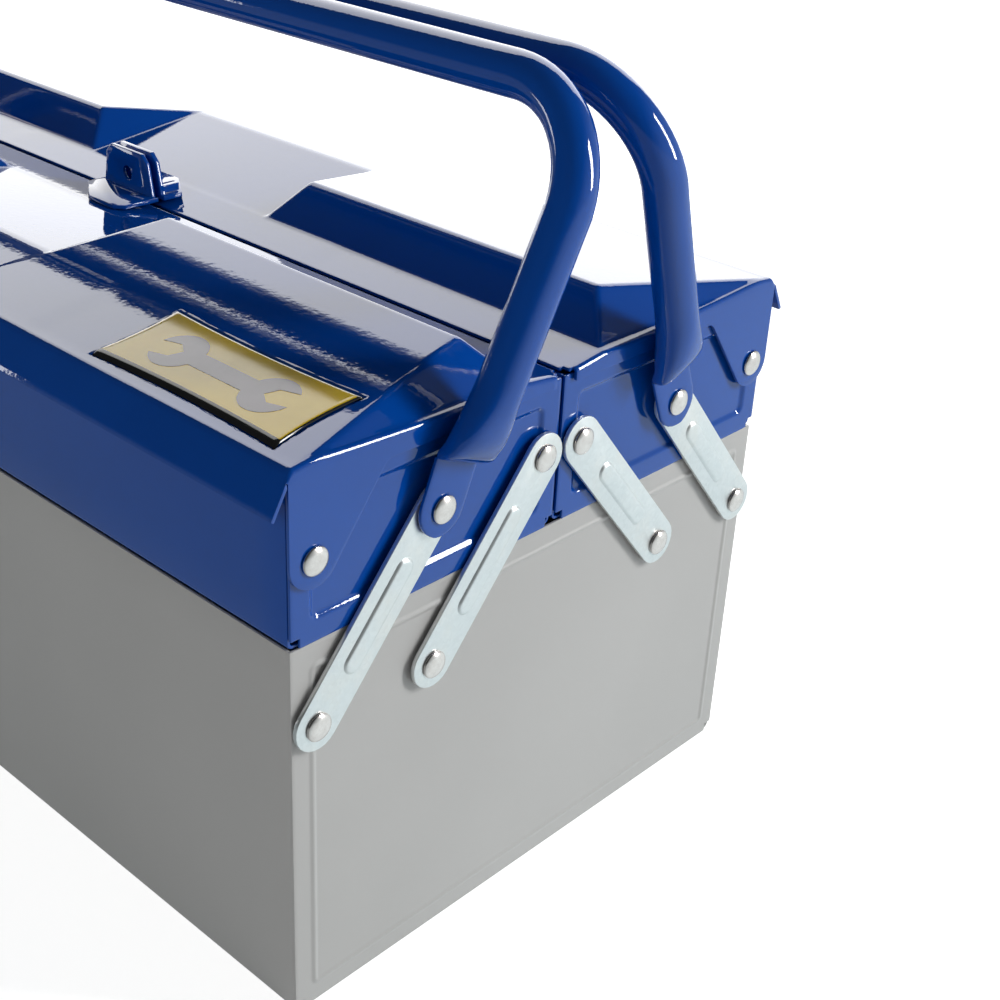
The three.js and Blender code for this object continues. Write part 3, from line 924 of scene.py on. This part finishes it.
def badge_piece():
    """A flat yellow field with a border that rolls down, wider along the front side, painted near-black as painted
    shade and painted dark reflection.
    """
    half_x, half_y = BADGE["length"] / 2 + 2.4, BADGE["width"] / 2 + 2.5
    front, rear, ends = 2.6, 1.2, 0.5
    xs = [-half_x, -half_x + 0.25, -half_x + ends] + spaced((-half_x + 2, half_x - 2, 4))
    xs += [half_x - ends, half_x - 0.25, half_x]
    ys = [-half_y, -half_y + 0.5, -half_y + 1.2, -half_y + 1.9, -half_y + front, -half_y + front + 0.6]
    ys += spaced((-half_y + 5, half_y - 3, 4))
    ys += [half_y - rear - 0.5, half_y - rear, half_y - 0.7, half_y - 0.3, half_y]
    points = []
    for x in xs:
        row = []
        for y in ys:
            place = pincushion(x / half_x, y / half_y, half_x, half_y)
            falls = (
                1.15 * max(1 - (y + half_y) / front, 0) ** 2,
                1.0 * max(1 - (half_y - y) / rear, 0) ** 2,
                0.55 * max(1 - (half_x - abs(x)) / ends, 0) ** 2,
            )
            row.append((*place, BADGE_TOP - max(falls)))
        points.append(row)
    obj = sheet_object("badge_dome", points)
    if obj.data.polygons[len(obj.data.polygons) // 2].normal.z < 0:
        obj.data.flip_normals()
    thicken(obj, thickness=0.8, edge=0.1, degrees=40)
    finish_piece(obj, "badge_plate", "front_lid_body", YELLOW)
    # The border's polygons get the near-black painted shade and painted dark reflection.
    obj.data.materials.append(BADGE_PAINTED_SHADE)
    for polygon in obj.data.polygons:
        x, y = polygon.center.x / MM, polygon.center.y / MM
        scale_x = x / (half_x - PINCH[0] * (1 - (y / half_y) ** 2))
        scale_y = y / (half_y - PINCH[1] * (1 - (x / half_x) ** 2))
        in_field = abs(scale_x) * half_x < half_x - ends
        in_field = in_field and -half_y + front < scale_y * half_y < half_y - rear
        polygon.material_index = 0 if in_field and polygon.center.z > 0 else 1
    obj.data.transform(badge_place())
    return obj


def spanner_outline():
    """A plain open-ended spanner, lying along the badge: a shaft and two slanted jaws."""
    half_length, jaw, shaft, mouth = 27.0, 8.3, 3.1, 3.3
    points = []
    for turn, centre in ((0, half_length - jaw), (math.pi, -(half_length - jaw))):
        slant = math.radians(15)
        opening = math.asin(mouth / jaw)
        join = math.pi - math.asin(shaft / jaw)
        for angle in np.linspace(-join, slant - opening, 14):
            points.append((centre, turn, jaw, angle))
        points.append((centre, turn, None, (jaw * 0.15, -mouth, slant)))
        points.append((centre, turn, None, (-jaw * 0.2, 0.0, slant)))
        points.append((centre, turn, None, (jaw * 0.15, mouth, slant)))
        for angle in np.linspace(slant + opening, join, 14):
            points.append((centre, turn, jaw, angle))
    outline = []
    for centre, turn, radius, value in points:
        if radius is None:
            along, across, slant = value
            x = along * math.cos(slant) - across * math.sin(slant)
            y = along * math.sin(slant) + across * math.cos(slant)
        else:
            x, y = radius * math.cos(value), radius * math.sin(value)
        turned_x = x * math.cos(turn) - y * math.sin(turn)
        turned_y = x * math.sin(turn) + y * math.cos(turn)
        outline.append((centre + turned_x, turned_y))
    return outline


def pictogram_piece():
    """The spanner as a thin flat print on the yellow field."""
    outline = spanner_outline()
    rings = [[(x, y, z) for x, y in outline] for z in (BADGE_TOP - 0.05, BADGE_TOP + 0.09)]
    obj = loft_object("badge_pictogram", rings, degrees=40)
    obj.data.transform(badge_place())
    obj.data.materials.append(PICTOGRAM)
    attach(obj, "front_lid_body")


badge_piece()
pictogram_piece()


# ---- Floor and light ----


def add_floor():
    reach, level = 40000, -0.3
    corners = [(x * reach, y * reach, level) for x, y in ((-1, -1), (1, -1), (1, 1), (-1, 1))]
    floor = new_object("floor", corners, [(0, 1, 2, 3)])
    n = Nodes("floor_white")
    glow = n.span(n.add("ShaderNodeLightPath").outputs["Is Camera Ray"], 0.20, 0.78)
    pale = n.ramp(n.noise(3.0), (0.3, (0.86, 0.86, 0.86)), (0.7, (0.88, 0.88, 0.88)))
    n.set(Base_Color=pale, Roughness=0.8, Emission_Color=(1, 1, 1, 1), Emission_Strength=glow)
    floor.data.materials.append(n.material)
    floor.visible_glossy = False


def add_area(name, place, target, size, radiance, reflected=True, lights_up=True):
    """A rectangular light of the given radiance, which can leave out its reflection or its diffuse light."""
    data = bpy.data.lights.new(name, "AREA")
    data.shape = "RECTANGLE"
    data.size, data.size_y = size
    data.energy = radiance * math.pi * size[0] * size[1]
    light = bpy.data.objects.new(name, data)
    bpy.context.scene.collection.objects.link(light)
    light.location = place
    light.rotation_euler = (Vector(target) - Vector(place)).to_track_quat("-Z", "Y").to_euler()
    light.visible_glossy = reflected
    light.visible_diffuse = lights_up
    return light


def smooth_range(tree, value, from_min, from_max, to_min, to_max):
    """The value eased from one range to another in the world's node tree."""
    node = tree.nodes.new("ShaderNodeMapRange")
    node.interpolation_type = "SMOOTHSTEP"
    ends = {"From Min": from_min, "From Max": from_max, "To Min": to_min, "To Max": to_max}
    for key, number in ends.items():
        node.inputs[key].default_value = number
    tree.links.new(value, node.inputs["Value"])
    return node.outputs["Result"]


def add_world():
    """White to the camera; to the rest a dim room over a pale table, brightest low at the right rear."""
    world = bpy.data.worlds.new("studio")
    bpy.context.scene.world = world
    world.use_nodes = True
    tree = world.node_tree
    background = tree.nodes["Background"]
    place = tree.nodes.new("ShaderNodeTexCoord").outputs["Generated"]
    towards = tree.nodes.new("ShaderNodeVectorMath")
    towards.operation = "DOT_PRODUCT"
    towards.inputs[1].default_value = Vector((0.62, 0.62, -0.48)).normalized()
    tree.links.new(place, towards.inputs[0])
    room = smooth_range(tree, towards.outputs["Value"], 0.1, 0.95, 0.04, 0.62)
    height = tree.nodes.new("ShaderNodeSeparateXYZ")
    tree.links.new(place, height.inputs[0])
    table = smooth_range(tree, height.outputs["Z"], 0.10, -0.06, 0.0, 0.22)
    both = tree.nodes.new("ShaderNodeMath")
    both.operation = "ADD"
    tree.links.new(room, both.inputs[0])
    tree.links.new(table, both.inputs[1])
    path = tree.nodes.new("ShaderNodeLightPath")
    seen = tree.nodes.new("ShaderNodeMix")
    tree.links.new(path.outputs["Is Camera Ray"], seen.inputs[0])
    tree.links.new(both.outputs["Value"], seen.inputs[2])
    seen.inputs[3].default_value = 1.2
    tree.links.new(seen.outputs[0], background.inputs["Strength"])
    background.inputs["Color"].default_value = (0.88, 1.0, 1.03, 1)


def add_lights():
    lid_top = (0.0, 0.0, 0.175)
    add_area("back_softbox", (-1.20, 1.05, 0.62), lid_top, (3.4, 2.8), 3.1, lights_up=False)
    add_area("side_strip", (-1.40, -0.95, 0.20), lid_top, (0.45, 0.20), 5.0, lights_up=False)
    add_area("key", (1.30, 0.95, 0.72), (0.2, 0.0, 0.10), (0.28, 0.90), 25.5)
    add_area("front_fill", (0.2, -1.8, 0.9), (0.0, 0.0, 0.1), (1.4, 1.4), 1.62, reflected=False)


add_floor()
add_world()
add_lights()
bpy.context.scene.view_settings.view_transform = "Standard"
